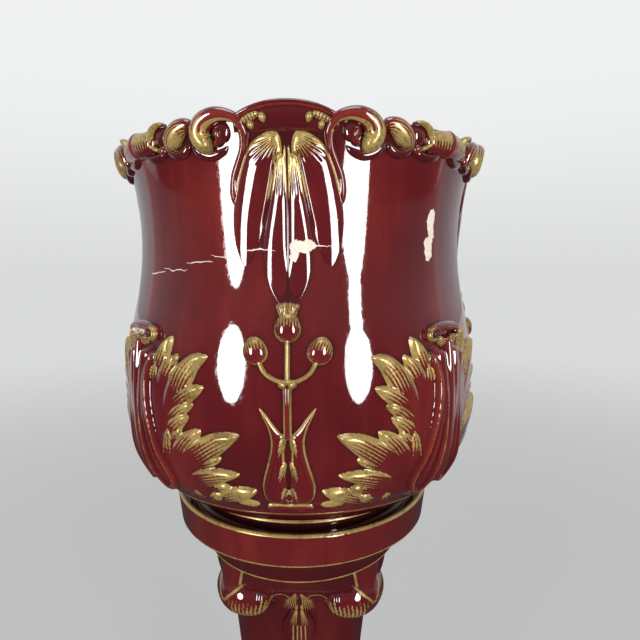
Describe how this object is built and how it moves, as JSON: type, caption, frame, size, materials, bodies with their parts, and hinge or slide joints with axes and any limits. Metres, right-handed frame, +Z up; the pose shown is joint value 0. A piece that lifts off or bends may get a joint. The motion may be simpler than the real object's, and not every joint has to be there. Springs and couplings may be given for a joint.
{
  "type": "jardiniere on stand",
  "caption": "Lobed glazed earthenware jardiniere with a scrolled rim and gilded relief leaves, standing loose on a waisted pedestal stand with corner volutes.",
  "frame": {"origin": "middle of the stand's underside, on the floor", "axes": "+Z up the pedestal's axis; the side seen in the picture faces -Y; +X to the viewer's right"},
  "size_m": [0.3986, 0.3986, 1.03],
  "materials": {
    "oxblood_glaze": "gloss",
    "gilded_relief": "gloss with gilding"
  },
  "bodies": {
    "stand": {"stand_base": "oxblood_glaze", "stand_shaft": "oxblood_glaze", "stand_capital": "oxblood_glaze", "stand_neck": "oxblood_glaze", "stand_dish": "oxblood_glaze", "shaft_spray_front": "gilded_relief", "shaft_spray_right": "gilded_relief", "shaft_spray_back": "gilded_relief", "shaft_spray_left": "gilded_relief", "capital_volute_front_right": "gilded_relief", "capital_volute_back_right": "gilded_relief", "capital_volute_back_left": "gilded_relief", "capital_volute_front_left": "gilded_relief", "base_scroll_front_right": "gilded_relief", "base_scroll_back_right": "gilded_relief", "base_scroll_back_left": "gilded_relief", "base_scroll_front_left": "gilded_relief"},
    "jardiniere": {"foot_ring": "oxblood_glaze", "bowl": "oxblood_glaze", "rim_scroll_front_right": "gilded_relief", "rim_scroll_front_left": "gilded_relief", "rim_scroll_right_right": "gilded_relief", "rim_scroll_right_left": "gilded_relief", "rim_scroll_back_right": "gilded_relief", "rim_scroll_back_left": "gilded_relief", "rim_scroll_left_right": "gilded_relief", "rim_scroll_left_left": "gilded_relief", "rim_curl_front_right": "gilded_relief", "rim_curl_front_left": "gilded_relief", "rim_curl_right_right": "gilded_relief", "rim_curl_right_left": "gilded_relief", "rim_curl_back_right": "gilded_relief", "rim_curl_back_left": "gilded_relief", "rim_curl_left_right": "gilded_relief", "rim_curl_left_left": "gilded_relief", "corner_roll_front_right": "gilded_relief", "corner_roll_back_right": "gilded_relief", "corner_roll_back_left": "gilded_relief", "corner_roll_front_left": "gilded_relief", "rim_crest_front": "gilded_relief", "rim_crest_right": "gilded_relief", "rim_crest_back": "gilded_relief", "rim_crest_left": "gilded_relief", "drape_leaves_front": "gilded_relief", "drape_leaves_right": "gilded_relief", "drape_leaves_back": "gilded_relief", "drape_leaves_left": "gilded_relief", "thistle_sprig_front": "gilded_relief", "thistle_sprig_right": "gilded_relief", "thistle_sprig_back": "gilded_relief", "thistle_sprig_left": "gilded_relief", "acanthus_front_right": "gilded_relief", "acanthus_back_right": "gilded_relief", "acanthus_back_left": "gilded_relief", "acanthus_front_left": "gilded_relief"}
  },
  "joints": [
    {"name": "jardiniere_lift", "type": "slide", "parent": "stand", "child": "jardiniere", "axis": [0, 0, 1], "range_m": [0, 0.15]}
  ]
}
